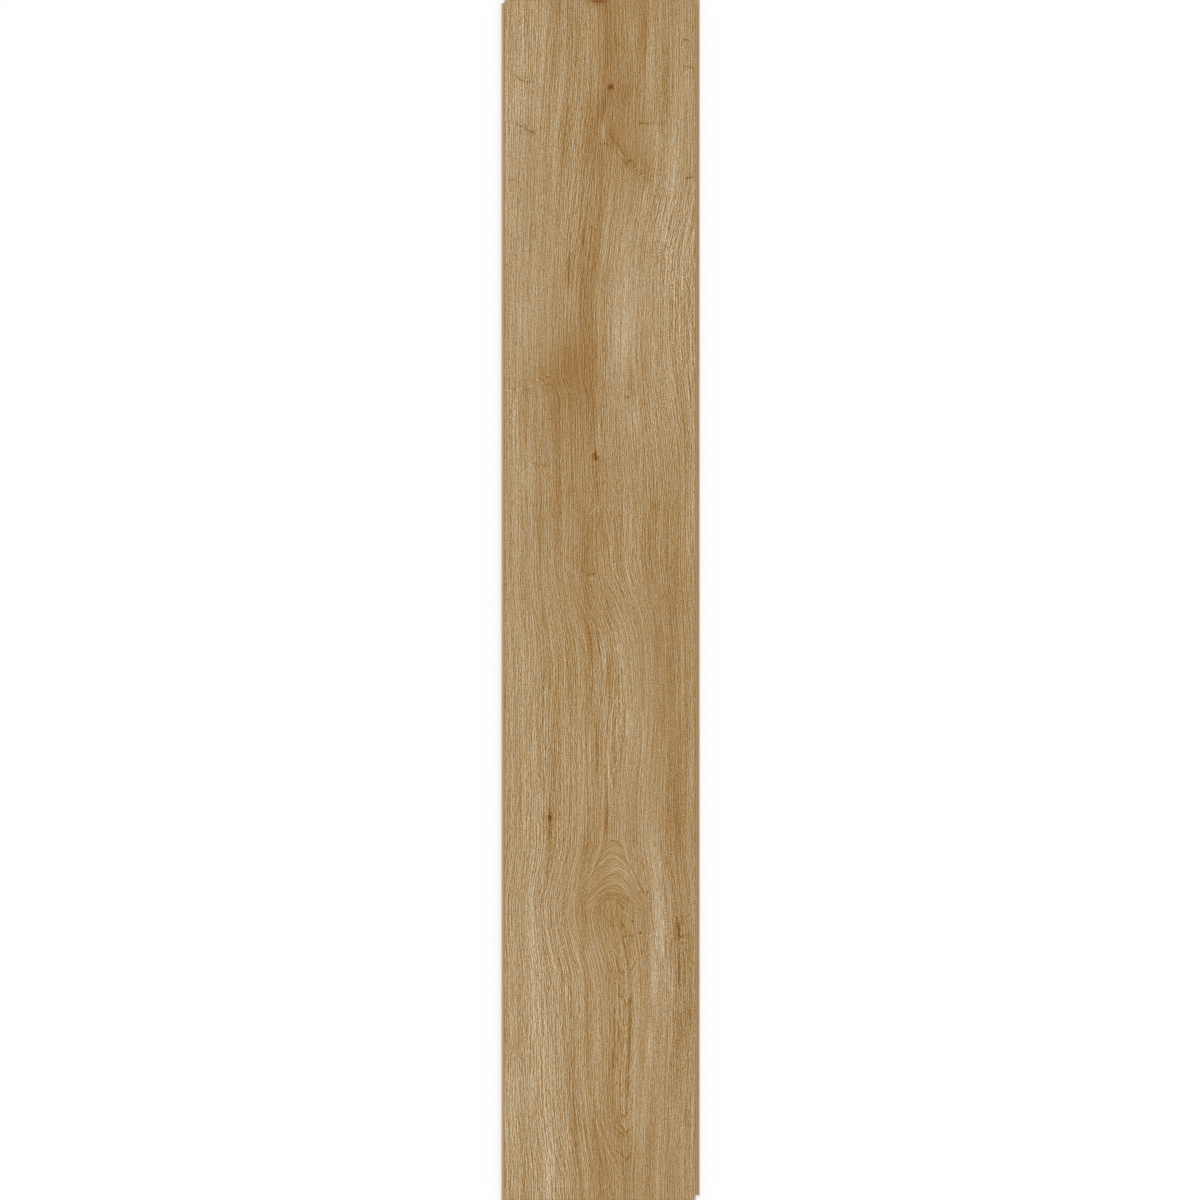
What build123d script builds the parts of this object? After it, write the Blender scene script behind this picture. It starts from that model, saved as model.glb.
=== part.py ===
"""Laminate floor plank: one pressed fibreboard plank with an angle-in locking edge milled on all four sides.

Millimetres. X runs across the plank, Y along it and Z up through its thickness. The origin is in the
middle of the underside, straight below the middle of the patterned face.
"""

import os
from math import sqrt

from build123d import *

# The patterned face, which is what shows in a laid floor.
FACE_LENGTH = 1200.0
FACE_WIDTH = 191.0
THICKNESS = 8.0
FACE_ARRIS = 0.25  # fine ease on the face's four edges, too small to read as a bevel

# The locking joint. Its groove is on the +X and +Y edges, and its tongue on the -X and -Y edges.
LOWER_LIP = 2.1  # board left below the groove, at its thinnest
GROOVE_HEIGHT = 3.0
GROOVE_DEPTH = 3.1  # from the face's edge to the end of the groove
BEAD_HEIGHT = 1.1  # how far the locking bead stands above the lower lip's thinnest place
BEAD_WIDTH = 0.7  # crest of the bead, out to the tip of the lower lip
BEARING_CLEARANCE = 0.1  # between surfaces that bear on each other
END_CLEARANCE = 0.3  # in front of the tongue's nose, and past the tip of the lower lip

# Cutter radii. Each is limited by the wall that it rounds.
NOSE_ROUND = 0.8
GROOVE_ROUND = 0.5
TIP_ROUND = 0.35
MOST_OF_WALL = 0.45  # share of a wall that the radius at one of its two corners may take

# A plank is angled in about the upper edge of the joint, so the surfaces that slide in its lower half
# are arcs about that edge: the hollow of the lower lip, and the heel of the tongue that turns in it.
HOLLOW_RADIUS = THICKNESS - LOWER_LIP
HEEL_RADIUS = HOLLOW_RADIUS - BEARING_CLEARANCE

GROOVE_TOP = LOWER_LIP + GROOVE_HEIGHT
BEAD_TOP = LOWER_LIP + BEAD_HEIGHT
LIP_REACH = sqrt(HOLLOW_RADIUS**2 - (THICKNESS - BEAD_TOP) ** 2) + BEAD_WIDTH

TONGUE_TOP = GROOVE_TOP - BEARING_CLEARANCE
TONGUE_REACH = GROOVE_DEPTH - END_CLEARANCE
NOSE_BOTTOM = THICKNESS - sqrt(HEEL_RADIUS**2 - TONGUE_REACH**2)
RECESS_TOP = BEAD_TOP + BEARING_CLEARANCE
RECESS_REACH = LIP_REACH + END_CLEARANCE


def block(left, right, bottom, top):
    """A rectangle of the section, given by its four sides."""
    return Pos((left + right) / 2, (bottom + top) / 2) * Rectangle(right - left, top - bottom)


def corner(section, x, y):
    """The section's corner nearest to a point."""
    return section.vertices().sort_by_distance((x, y))[0]


def rounded(section, x, y, radius, wall):
    """The section with the corner nearest to a point rounded, as far as its wall allows."""
    return fillet(corner(section, x, y), min(radius, MOST_OF_WALL * wall))


def groove_cut(edge):
    """What is milled away at a groove edge, where the face ends at X = edge."""
    end, tip = edge - GROOVE_DEPTH, edge + LIP_REACH
    slot = block(end, edge, LOWER_LIP, GROOVE_TOP)
    for height in (LOWER_LIP, GROOVE_TOP):
        slot = rounded(slot, end, height, GROOVE_ROUND, GROOVE_HEIGHT)
    hollow = Pos(edge, THICKNESS) * Circle(HOLLOW_RADIUS) & block(edge, tip, LOWER_LIP, THICKNESS)
    return slot + hollow + block(edge, tip, BEAD_TOP, THICKNESS)


def tongue_cut(edge):
    """What is milled away at a tongue edge, where the face ends at X = edge."""
    nose, end = edge - TONGUE_REACH, edge + RECESS_REACH
    above = block(nose, edge, TONGUE_TOP, THICKNESS)
    below = rounded(block(nose, end, 0, RECESS_TOP), end, RECESS_TOP, GROOVE_ROUND, RECESS_TOP)
    return above + (below - Pos(edge, THICKNESS) * Circle(HEEL_RADIUS))


def locking_section(face):
    """Section through two opposite edges of a face of this width: X across it, Y up through the board."""
    tongue_edge, groove_edge = -face / 2, face / 2
    nose, tip = tongue_edge - TONGUE_REACH, groove_edge + LIP_REACH
    section = block(nose, tip, 0, THICKNESS) - groove_cut(groove_edge) - tongue_cut(tongue_edge)

    for height in (NOSE_BOTTOM, TONGUE_TOP):
        section = rounded(section, nose, height, NOSE_ROUND, TONGUE_TOP - NOSE_BOTTOM)
    for height in (0, BEAD_TOP):
        section = rounded(section, tip, height, TIP_ROUND, BEAD_WIDTH)
    face_corners = [corner(section, edge, THICKNESS) for edge in (tongue_edge, groove_edge)]
    return chamfer(face_corners, FACE_ARRIS)


def laminate_plank():
    """The long edges are milled right through the blank, and then the two ends are milled across it.

    Where a lower lip runs out across a tongue, the second pass cuts a crumb of its bead free. The crumb
    falls away, and the plank is the one large solid that is left.
    """
    reach = max(TONGUE_REACH, LIP_REACH)
    long_edges = extrude(Plane.XZ * locking_section(FACE_WIDTH), FACE_LENGTH / 2 + reach, both=True)
    end_edges = extrude(Plane.YZ * locking_section(FACE_LENGTH), FACE_WIDTH / 2 + reach, both=True)
    return (long_edges & end_edges).solids().sort_by(SortBy.VOLUME)[-1]


os.makedirs("parts", exist_ok=True)
plank = laminate_plank()
export_step(plank, "parts/laminate_plank.step")
print("tongue reaches", round(TONGUE_REACH, 3), "and lower lip", round(LIP_REACH, 3))
print("volume", round(plank.volume), "size", plank.bounding_box().size)
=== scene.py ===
# %% [markdown]
# # A laminate floor plank
# The plank is one pressed fibreboard with an oak pattern printed on its face, a plain paper on its back and
# a locking joint milled round its edges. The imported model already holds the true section, so it is loaded
# here as a fixed frame. This lesson dresses it: the face gets a fine grid with pressed-in grain, and the
# face, the milled edges and the back get a finish each.

import bmesh
import bpy
import numpy as np
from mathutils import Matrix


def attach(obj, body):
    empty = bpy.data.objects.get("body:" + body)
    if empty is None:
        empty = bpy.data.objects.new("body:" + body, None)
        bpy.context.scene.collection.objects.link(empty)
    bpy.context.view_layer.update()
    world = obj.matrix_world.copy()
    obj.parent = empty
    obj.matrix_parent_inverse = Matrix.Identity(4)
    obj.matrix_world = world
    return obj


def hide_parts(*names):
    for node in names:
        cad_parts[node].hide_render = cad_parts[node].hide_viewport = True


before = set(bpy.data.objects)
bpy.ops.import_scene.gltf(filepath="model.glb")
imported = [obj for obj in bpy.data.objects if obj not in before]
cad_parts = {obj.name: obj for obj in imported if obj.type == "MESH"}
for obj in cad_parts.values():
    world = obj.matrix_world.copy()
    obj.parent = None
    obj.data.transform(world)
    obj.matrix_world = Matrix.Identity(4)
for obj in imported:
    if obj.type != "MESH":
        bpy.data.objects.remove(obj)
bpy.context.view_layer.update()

PLANK_NODE = "laminate_plank"
MM = 0.001

# %% [markdown]
# ## Where the face is
# The node's mesh is loose triangles. A merged copy of it is read into arrays, and the flat face and the
# fine ease round it are told apart by their height. Everything below them, from the tongue to the backing,
# is kept as it is, because those surfaces have to fit the next plank.

# %% Read the solid into arrays
MERGE_DISTANCE = 1e-6
HEIGHT_TOLERANCE = 1e-6


def merged_arrays(source):
    """Vertices (n, 3) and triangles (m, 3) of a mesh whose doubled vertices have been merged."""
    shell = bmesh.new()
    shell.from_mesh(source)
    bmesh.ops.remove_doubles(shell, verts=shell.verts, dist=MERGE_DISTANCE)
    merged = bpy.data.meshes.new("merged_solid")
    shell.to_mesh(merged)
    shell.free()
    points = np.empty(len(merged.vertices) * 3)
    merged.vertices.foreach_get("co", points)
    corners = np.empty(len(merged.loops), int)
    merged.loops.foreach_get("vertex_index", corners)
    bpy.data.meshes.remove(merged)
    return points.reshape(-1, 3), corners.reshape(-1, 3)


solid_points, solid_triangles = merged_arrays(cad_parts[PLANK_NODE].data)
heights = solid_points[:, 2]
face_height = heights.max()
ease_height = heights[heights < face_height - HEIGHT_TOLERANCE].max()
is_face_point = heights > face_height - HEIGHT_TOLERANCE
face_low = solid_points[is_face_point, :2].min(0)
face_high = solid_points[is_face_point, :2].max(0)
in_face = (heights[solid_triangles] > ease_height - HEIGHT_TOLERANCE).all(1)
board_triangles = solid_triangles[~in_face]
print("face, mm:", (face_low / MM).round(2), (face_high / MM).round(2), "height", round(face_height / MM, 3))
print("board triangles kept:", len(board_triangles), "of", len(solid_triangles))

# %% [markdown]
# ## A grid over the face
# The figure is worked out at the points of a grid. Places are given as a joiner would mark them, in
# millimetres: across from the middle line, and down from the head end. An even grid would spend most of its
# points where the grain is straight, so its rows crowd together at the knots and at the tops of arches.
# They are spread evenly over the running sum of a density.

# %% Grid lines
FACE_LENGTH = 1200.0  # mm
COLUMNS, ROWS = 196, 490
FINE_STEPS = 4000  # places at which the density of rows is summed
# Down, reach and extra density of the places where rows crowd together.
CROWDED_ROWS = ((87, 16, 1.6), (158, 16, 0.8), (460, 14, 1.6), (578, 22, 0.9), (820, 16, 1.2), (885, 60, 1.2))


def crowded(low, high, count, places):
    """Positions from low to high, spaced by the inverse of 1 plus a bell curve for each crowded place."""
    fine = np.linspace(low, high, FINE_STEPS)
    density = 1 + sum(extra * np.exp(-(((fine - at) / reach) ** 2)) for at, reach, extra in places)
    share = np.concatenate([[0], np.cumsum((density[1:] + density[:-1]) / 2)])
    return np.interp(np.linspace(0, share[-1], count), share, fine)


def face_places(x, y):
    """Across and down in millimetres, from metres in the plank's frame."""
    return x / MM, FACE_LENGTH / 2 - y / MM


columns = np.linspace(face_low[0], face_high[0], COLUMNS)
head, foot = face_places(0, face_high[1])[1], face_places(0, face_low[1])[1]
rows = (FACE_LENGTH / 2 - crowded(head, foot, ROWS, CROWDED_ROWS)[::-1]) * MM
rows[0], rows[-1] = face_low[1], face_high[1]
grid_x, grid_y = np.meshgrid(columns, rows)
grid_across, grid_down = face_places(grid_x, grid_y)
spacing = np.diff(rows) / MM
print("grid:", grid_x.shape, "rows", spacing.min().round(2), "to", spacing.max().round(2), "mm apart")

# %% [markdown]
# ## The run of the grain
# The pattern copies a flat-sawn oak board. Its fibres run along the board, follow its heart and lean aside
# here and there. A noise in straight lines could not do that. So each point of the face first gets its
# offset from the heart, and the grain is laid along lines of equal offset.

# %% The heart's line
# Down and across of the heart's line.
HEART_LINE = (
    (0, 8), (90, 8), (200, 1), (290, -8), (420, -8), (505, -5), (575, -5), (640, 11), (740, 14),
    (840, 14), (922, 13), (977, 25), (1006, 26), (1100, 24), (1200, 28),
)
LINE_REACH = 70  # mm from the middle over which the grain follows the heart's line
# Where a flank's grain leans aside: across, from where to where down, from where to where it comes back,
# reach across, and shift.
LEANS = (
    (-40, 0, 170, 374, 400, 26, -8), (66, 168, 262, 330, 480, 34, -12), (34, 540, 640, 700, 800, 30, 8),
)


def smooth_step(t):
    """0 below 0, 1 above 1, and 3t squared less 2t cubed between."""
    t = np.clip(t, 0, 1)
    return t * t * (3 - 2 * t)


def eased(down, stations):
    """A smooth line through stations: a cubic between each two, with the slope of their neighbours' chord."""
    at, value = np.array(stations, float).T
    slope = np.gradient(value, at)
    left = np.clip(np.searchsorted(at, down) - 1, 0, len(at) - 2)
    span = at[left + 1] - at[left]
    t = (down - at[left]) / span
    rise = value[left + 1] - value[left]
    start, end = slope[left] * span, slope[left + 1] * span
    return value[left] + t * start + t**2 * (3 * rise - 2 * start - end) + t**3 * (start + end - 2 * rise)


def heart_offset(across, down):
    """Across less the heart's line, which fades out towards the long edges, and less the flanks' leans."""
    offset = across - eased(down, HEART_LINE) * np.exp(-((across / LINE_REACH) ** 2))
    for place, start, end, back, straight, reach, shift in LEANS:
        lean = smooth_step((down - start) / (end - start)) - smooth_step((down - back) / (straight - back))
        offset = offset - shift * lean * np.exp(-(((across - place) / reach) ** 2))
    return offset


heart = eased(np.linspace(0, FACE_LENGTH, 3), HEART_LINE)
print("heart at the head, the middle and the foot, mm across:", heart.round(1))

# %% [markdown]
# ## Eyes
# Where the saw cut through the top of a growth ring, the ring closes in an eye: pointed arches above its
# middle, long ones below, and fibres that bow round them. Arches of one shape would look like a target,
# because in oak they are nearly as wide as their eye from the first one on. So the width grows more slowly
# here than the height. No formula then gives the height of the arch through a point, and it is found by
# halving.

# %% Fibres and arches
# Down of an eye's middle, half width, reach up to its topmost arch and down to its lowest, how far fibres
# bow, and how clear the arches are above the middle and below it.
EYES = ((725, 12, 66, 70, 0.8, 0.0, 0.0), (905, 39, 65, 265, 0.95, 1.0, 0.15))
CLEAR_FADE = 40  # mm along, round an eye's middle, over which that clearness changes
ROUND_ABOVE, ROUND_BELOW = 1.15, 1.9  # shape of the arches: 1 is a triangle, 2 an ellipse
TIP = 0.1  # how blunt the arches' tips are, as a share of an eye's half width
WIDENING = 0.3  # power of an arch's height that gives its width: 1 for one shape, 0 for one width
RINGS = 0.6  # how far the lines also follow rings round an eye's middle, where its arches lie flat
EYE_EDGE, CORE_EDGE = 0.12, 0.15  # share of an eye, at rim and core, over which fibres give way to arches
TOP_CALM = 0.65  # how much fainter the lines are on an eye's axis, where arches lie far apart
CORE = 0.5  # how close fibres stand in the middle of an eye: half as close as elsewhere
MOST_SHARE, HALVINGS = 4.0, 24  # highest arch that is looked for, as a share of its eye, and how often
TINY = 1e-9


def arch_share(u, v, power):
    """Height s of the arch through a point, as a share of its eye's.

    It makes (u / s^WIDENING)^power + (v / s)^power equal 1. That sum falls as s grows, so s is found by
    halving the range that holds it.
    """
    low, high = np.full_like(u, TINY), np.full_like(u, MOST_SHARE)
    for _ in range(HALVINGS):
        middle = (low + high) / 2
        is_under = (u / middle**WIDENING) ** power + (v / middle) ** power < 1
        low, high = np.where(is_under, low, middle), np.where(is_under, middle, high)
    return (low + high) / 2


def grain_fields(across, down):
    """The places of the fibre and of the arch in mm, the mask of the eyes, and how calm the grain is.

    Here u is the offset over an eye's half width, and v the way from its middle over its reach. An arch's
    place is the half width times the sum of its share of the height and RINGS times the length of (u, v).
    With o the offset and r the rim's, a fibre's place is o (o o + CORE r r) / (o o + r r). An arch is steep
    where u makes up most of its sum, and flat on top, where u is 0.
    """
    offset = heart_offset(across, down)
    rim = np.zeros_like(offset)
    nearest = np.full_like(offset, np.inf)
    arch = np.zeros_like(offset)
    steep = np.ones_like(offset)
    clear = np.zeros_like(offset)
    for middle, half_width, above, below, bow, clear_above, clear_below in EYES:
        is_above = down < middle
        power = np.where(is_above, ROUND_ABOVE, ROUND_BELOW)
        u = np.hypot(offset / half_width, TIP) - TIP
        v = np.abs(down - middle) / np.where(is_above, above, below)
        share = arch_share(u, v, power)
        ring = np.hypot(u, v)
        rim = np.maximum(rim, bow * half_width * np.maximum(1 - v**power, 0) ** (1 / power))
        fade = smooth_step(0.5 + (down - middle) / CLEAR_FADE)
        faded = (clear_above + (clear_below - clear_above) * fade) * smooth_step(ring / CORE_EDGE)
        is_nearer = share < nearest
        arch = np.where(is_nearer, half_width * (share + RINGS * ring), arch)
        steep = np.where(is_nearer, np.minimum((u / share**WIDENING) ** (power / 2), 1), steep)
        clear = np.where(is_nearer, faded, clear)
        nearest = np.minimum(nearest, share)
    fibre = offset * (offset**2 + CORE * rim**2) / np.maximum(offset**2 + rim**2, TINY)
    eye = clear * smooth_step(0.5 + (1 - nearest) / EYE_EDGE)
    return fibre, arch, eye, 1 - TOP_CALM * eye * (1 - steep)


fibres, _, eyes, _ = grain_fields(grid_across, grid_down)
print("eyes:", len(EYES), "share of the face on arches:", (eyes > 0.5).mean().round(3))

# %% [markdown]
# ## Bands, streaks and knots
# No two boards have the same dark and pale bands, so these are listed one by one, as brush strokes along the
# grain. Each stroke is a bell curve across its line that fades in and out along it. Its strength is in the
# steps of an 8-bit picture, so that the finish can be compared with the real one by eye. Knots and flecks
# are spots, and more spots make the grain livelier or calmer.

# %% Strokes along the grain
# Across and down of a stroke's head, the same of its foot, its half width, and how much it darkens.
DARK_STROKES = (
    # Broad zones
    (20, -40, 22, 200, 24, 10), (-9, 150, -14, 320, 10, 8), (-26, 320, -24, 450, 24, 11),
    (-15, 420, -15, 660, 28, 6), (70, 450, 72, 900, 20, 5), (30, 440, 30, 660, 30, 3),
    (15, 1060, 15, 1240, 26, 5), (16, 890, 20, 940, 24, 5), (88, 890, 89, 1050, 8, 5),
    (-68, 140, -70, 230, 9, 7),
    # The heart, from the head end to the flame beside it
    (-3, -8, -2, 9, 8, 14), (73, -10, 72, 30, 6, 6), (40, -20, 40, 12, 20, 4), (5, 135, 5, 185, 3.5, 6),
    (-26, 235, -26, 290, 4, 5), (2, 260, 1, 310, 4, 5), (10, -8, 10, 24, 9, 9), (7.5, 14, 7.5, 84, 3.2, 13),
    (15, 30, 16, 58, 4, 8), (22, 80, 23, 106, 8, 8), (8, 90, -1, 122, 4.5, 16), (1.5, 118, 0, 226, 3, 10),
    (-5, 110, -11, 168, 7, 10), (12, 110, 13, 154, 7, 8), (10, 130, 40, 180, 4, 4),
    (29, 146, 30, 174, 8, 7), (46, 152, 46, 188, 6, 12), (44, -8, 43, 62, 5, 14),
    (67, 40, 67, 132, 3.5, 8), (-42, -8, -40, 20, 9, 7), (-45, 22, -46, 84, 4, 7),
    (-29, -6, -30, 50, 4, 7), (-6, 50, -16, 190, 9, 7), (-35, 104, -37, 166, 7, 7),
    (-70, 118, -70, 144, 5, 7), (-67, 222, -68, 250, 4, 8), (-16.5, 222, -17, 250, 2.2, 14),
    (-30, 250, -32, 292, 2.2, 14), (-18, 256, -18, 310, 3, 12), (0, 210, -11, 300, 4, 12),
    (43, 236, 42, 276, 3.5, 7), (52, 200, 47, 232, 4, 7),
    # The dark patch above the middle knot and the bands that leave it
    (-12, 290, -10, 410, 6, 12), (-28, 330, -30, 388, 9, 9), (-50, 352, -46, 398, 11, 8),
    (-44, 380, -43, 446, 5.5, 10), (-43, 436, -42, 548, 3.5, 11), (-8, 400, -6, 450, 3, 10),
    (-3, 464, -3, 504, 3.5, 11), (-60, 480, -60, 588, 3.5, 10), (-30, 470, -29, 500, 3, 8),
    (31, 360, 30, 406, 5, 8), (45, 326, 45, 406, 4, 8), (80, 396, 79, 524, 4, 7),
    (75, 512, 74, 622, 8, 6), (48, 494, 49, 612, 4, 7), (57, 490, 57, 520, 4, 8),
    (-13, 510, -14, 626, 6, 10), (3, 514, 3, 546, 4, 8), (-75, 356, -76, 444, 5, 5),
    (-57, 390, -56, 480, 4, 5), (-63, 340, -62, 400, 5, 5), (-56, 490, -56, 545, 4, 5),
    (-54, 735, -54, 790, 3, 5),
    # Both sides of the long arches
    (64, 770, 65, 860, 4, 6),
    (-12, 612, -7, 664, 3.5, 10), (-8, 660, -10, 732, 3.5, 8), (-57, 594, -57, 650, 3, 10),
    (-53, 654, -52, 692, 3, 9), (-47, 694, -47, 800, 3, 9), (-50, 800, -50, 838, 2.5, 16),
    (-49, 836, -49, 876, 3, 8), (-30, 646, -30, 708, 3, 8), (11, 656, 8, 696, 4, 9),
    (7, 596, 7, 628, 4, 8), (13.5, 740, 14, 774, 4.5, 6), (-3, 716, -4, 786, 4, 9),
    (57, 636, 57, 660, 4, 8), (69, 640, 68, 690, 4, 6), (64, 696, 64, 744, 3, 10),
    (75, 730, 77, 872, 6, 12), (77, 796, 77, 854, 4, 8), (6.5, 794, 6.5, 846, 3, 12),
    (-11, 834, -13, 868, 6, 12), (-16, 862, -17, 966, 5, 10), (-8, 796, -8, 838, 4, 7),
    (31, 796, 31, 874, 4, 6), (60, 596, 60, 664, 4, 4), (74, 596, 75, 626, 6, 4),
    (-4, 800, -5, 880, 5, 6), (77, 860, 77, 950, 4, 6),
    # The eye and the arches below it
    (-22, 878, -23, 930, 5, 7),
    (4, 886, 8, 934, 10, 5), (48, 876, 47, 984, 4, 8), (27, 928, 28, 966, 5, 10),
    (11, 956, 11, 994, 5, 7), (78.5, 894, 78.5, 996, 3, 8), (79, 1006, 77, 1066, 3, 12),
    (77, 1060, 75, 1106, 3, 7), (90, 924, 90, 966, 6, 3), (-13, 986, -12, 1084, 3, 10),
    (-26, 1056, -24, 1184, 4.5, 9), (30, 996, 28, 1112, 2.2, 9), (7, 990, 8, 1124, 5, 4),
    (14.3, 1010, 13.5, 1066, 2.2, 8), (14, 1048, 14, 1068, 3, 8), (-9, 1116, -3, 1174, 5, 7),
    (-3, 1160, -2, 1208, 5, 6), (10, 1086, 21, 1172, 6, 5), (5, 1160, 6, 1208, 6, 7),
    (26, 1150, 25, 1208, 5, 4), (88, 1002, 90, 1026, 4, 11), (84, 1020, 84, 1042, 4, 8),
    (42, 1042, 42, 1066, 3, 7), (52, 1076, 51, 1192, 4, 8), (72, 1150, 72, 1220, 5, 9),
    (86.5, 1106, 86.5, 1126, 4, 11), (-18, 1154, -17, 1190, 3, 8),
)
# The same, with how much a stroke lightens.
PALE_STROKES = (
    # Broad zones
    (-76, -60, -76, 360, 22, 7), (-72, 620, -72, 1260, 24, 4), (-52, 860, -50, 1260, 16, 4),
    (62, 140, 62, 400, 32, 6), (20, 190, 20, 390, 15, 7),
    # From the head end to the foot
    (-77, 24, -78, 134, 6, 5), (-87, 66, -88, 134, 6, 5), (-8, 16, -14, 84, 3, 4),
    (2.5, 118, 2.5, 144, 2, 7), (51, 26, 50, 108, 6, 8), (73, 108, 73, 198, 7, 11),
    (86, 70, 88, 114, 5, 7), (57, 126, 57, 156, 3.5, 8), (70, 196, 63, 310, 6, 4),
    (26, 206, 28, 322, 9, 4), (13, 842, 14, 880, 8, 5), (60, 1110, 61, 1200, 5, 5),
    (46, 206, 46, 238, 5, 7), (-58, 270, -58, 330, 3, 5), (-40, 66, -48, 168, 4, 6),
    (-55, -10, -55, 70, 5, 7), (34, 20, 33, 54, 4, 7), (87, 190, 86, 290, 6, 3),
    (-88, 330, -88, 560, 9, 5), (-76, 290, -76, 346, 6, 8), (-73, 446, -74, 512, 6, 8),
    (17, 300, 18, 372, 4, 9), (28, 310, 27, 360, 5, 10), (52, 360, 50, 450, 3.5, 4),
    (75, 325, 74, 380, 3.5, 5), (80, 670, 79, 720, 4, 4), (70, 330, 68, 432, 4, 3),
    (34, 404, 34, 436, 5, 10), (-2, 420, -2, 452, 3, 8), (-93, 100, -93, 230, 5, 6),
    (93, 472, 93, 528, 4, 10), (87, 524, 87, 568, 4, 8), (25, 496, 31, 612, 4.5, 8),
    (-86, 596, -86, 730, 6, 4), (-72, 636, -72, 726, 5, 8), (-71, 732, -70, 906, 4, 9),
    (4, 632, 4, 692, 2.5, 9), (18, 612, 24, 690, 4, 8), (8, 696, 8, 798, 3, 6), (27, 692, 27, 774, 5, 2),
    (43, 716, 43, 806, 3, 6), (46, 812, 53, 880, 4.5, 10), (27, 864, 27, 890, 6, 7),
    (-18, 734, -18, 804, 3, 7), (-58, 790, -57, 810, 4, 7), (92, 752, 92, 796, 4, 8),
    (56, 866, 60, 966, 6.5, 16), (55, 954, 53, 1010, 6, 14), (50, 1024, 49, 1076, 3.5, 14),
    (46, 1074, 46, 1136, 4, 11), (-69, 896, -66, 966, 4, 12), (-63, 954, -62, 1046, 5, 12),
    (-55, 1034, -54, 1088, 5, 9), (-88, 1052, -88, 1120, 8, 12), (-92, 1100, -90, 1166, 6, 12),
    (-87, 1004, -87, 1036, 4, 10), (-90, 924, -90, 1006, 5, 6), (-25, 896, -20, 996, 3.5, 10),
    (-20, 986, -18, 1108, 3.5, 8), (-2.5, 1014, -3, 1068, 4, 10), (-4, 1074, -4, 1116, 4, 8),
    (37, 992, 36, 1106, 3, 8), (40, 1102, 40, 1156, 4, 8), (-50, 1140, -50, 1208, 7, 13),
    (-52, 1104, -52, 1152, 6, 8), (-32, 1114, -32, 1156, 4, 7), (-15, 1134, -15, 1162, 3, 8),
    (-10, 1170, -10, 1194, 4, 7), (70, 954, 70, 1006, 4, 7), (-85, 1164, -85, 1208, 4, 8),
    (-68, 1074, -68, 1106, 3, 8), (-60, 1180, -60, 1220, 5, 6), (67, 1000, 70, 1110, 4, 6),
    (32, 1060, 30, 1140, 6, 9), (25, 1098, 26, 1142, 5, 7), (-94, 1040, -94, 1140, 4, 6),
)
STROKE_BELL = 0.5  # share of a stroke's length, from its middle, at which it has faded to about a third
STROKE_GAIN = 1.2  # how strongly all strokes are laid on


def stroke_sum(across, down, strokes):
    """Sum of strokes: a bell curve of the distance from each line, times a flat bell curve along it."""
    total = np.zeros_like(across)
    for head_across, head_down, foot_across, foot_down, half_width, strength in strokes:
        run, fall = foot_across - head_across, foot_down - head_down
        length = np.hypot(run, fall)
        along = ((across - head_across) * run + (down - head_down) * fall) / length**2
        beside = ((across - head_across) * fall - (down - head_down) * run) / length
        fade = ((along - 0.5) / STROKE_BELL) ** 2
        total += strength * np.exp(-fade - (beside / half_width) ** 2)
    return total


def face_tone(across, down):
    """Steps lighter or darker than the middle colour."""
    return STROKE_GAIN * (stroke_sum(across, down, PALE_STROKES) - stroke_sum(across, down, DARK_STROKES))


tone = face_tone(grid_across, grid_down)
print("strokes:", len(DARK_STROKES), "dark and", len(PALE_STROKES), "pale")
print("tone:", tone.min().round(1), "to", tone.max().round(1), "steps")

# %% Spots: knots, flecks, lively and calm places
# Across, down, half width and half length of each spot.
KNOTS = (
    (10.5, 87, 2.6, 2.6), (-5.2, 455, 2.2, 3.4), (-4.2, 458.5, 2.8, 2), (-50, 818, 1.5, 2.8),
    (-2, 0, 7.5, 2.3),
)
FLECKS = (
    (-78, 79, 8, 5), (-74, 129, 12, 6), (-88, 180, 6, 3), (85, 40, 5, 4), (88, 67, 6, 2.5),
    (45, 124, 9, 2.5), (60, 124, 8, 2), (90, 177, 6, 3), (-85, 238, 8, 4), (-90, 265, 4, 4),
    (73, 305, 7, 6), (-59, 465, 8, 3), (-72, 386, 24, 7), (-54, 378, 10, 6),
)
# Across, down, half width and half length of places with livelier or calmer grain, and by what share.
LIVELY = (
    (66, 235, 16, 60, 0.6), (55, 412, 10, 25, 0.25), (76, 985, 24, 130, 0.35), (-56, 930, 12, 150, 0.3),
    (-80, 40, 24, 60, 0.15), (60, 945, 12, 80, 0.35), (32, 150, 22, 30, -0.3), (-28, 362, 26, 40, -0.2),
    (14, 925, 26, 34, -0.2),
)
TONE_CONTRAST = 0.01  # how much livelier the grain is for each step that it is paler


def spots(across, down, places):
    """1 in the middle of a spot, falling as a bell curve over its half width and half length."""
    return np.max([np.exp(-(((across - a) / w) ** 2 + ((down - d) / h) ** 2)) for a, d, w, h in places], 0)


def grain_contrast(across, down):
    """Share of the usual grain: more where the face is pale and in lively places, less in calm ones."""
    share = 1 + TONE_CONTRAST * face_tone(across, down)
    for place_across, place_down, half_width, half_length, change in LIVELY:
        share = share + change * spots(across, down, ((place_across, place_down, half_width, half_length),))
    return share


print("knots:", len(KNOTS), "flecks:", len(FLECKS))

# %% [markdown]
# ## Pressed-in grain
# The press that bonds the printed paper also stamps the grain into it, a tenth of a millimetre deep at
# most. The stamped lines follow the fibres. They are a lattice of random numbers, long cells along the
# grain and narrow cells across it, blended smoothly between the lattice's points.

# %% Relief of the face
STAMP_DEPTH, KNOT_DEPTH = 0.07, 0.05  # mm
STAMP_WIDTH, STAMP_LENGTH = 1.4, 45  # mm, of a cell
RIM_FADE = 2.0  # mm from the rim over which the stamp sets in
STAMP_SEED = 11


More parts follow.
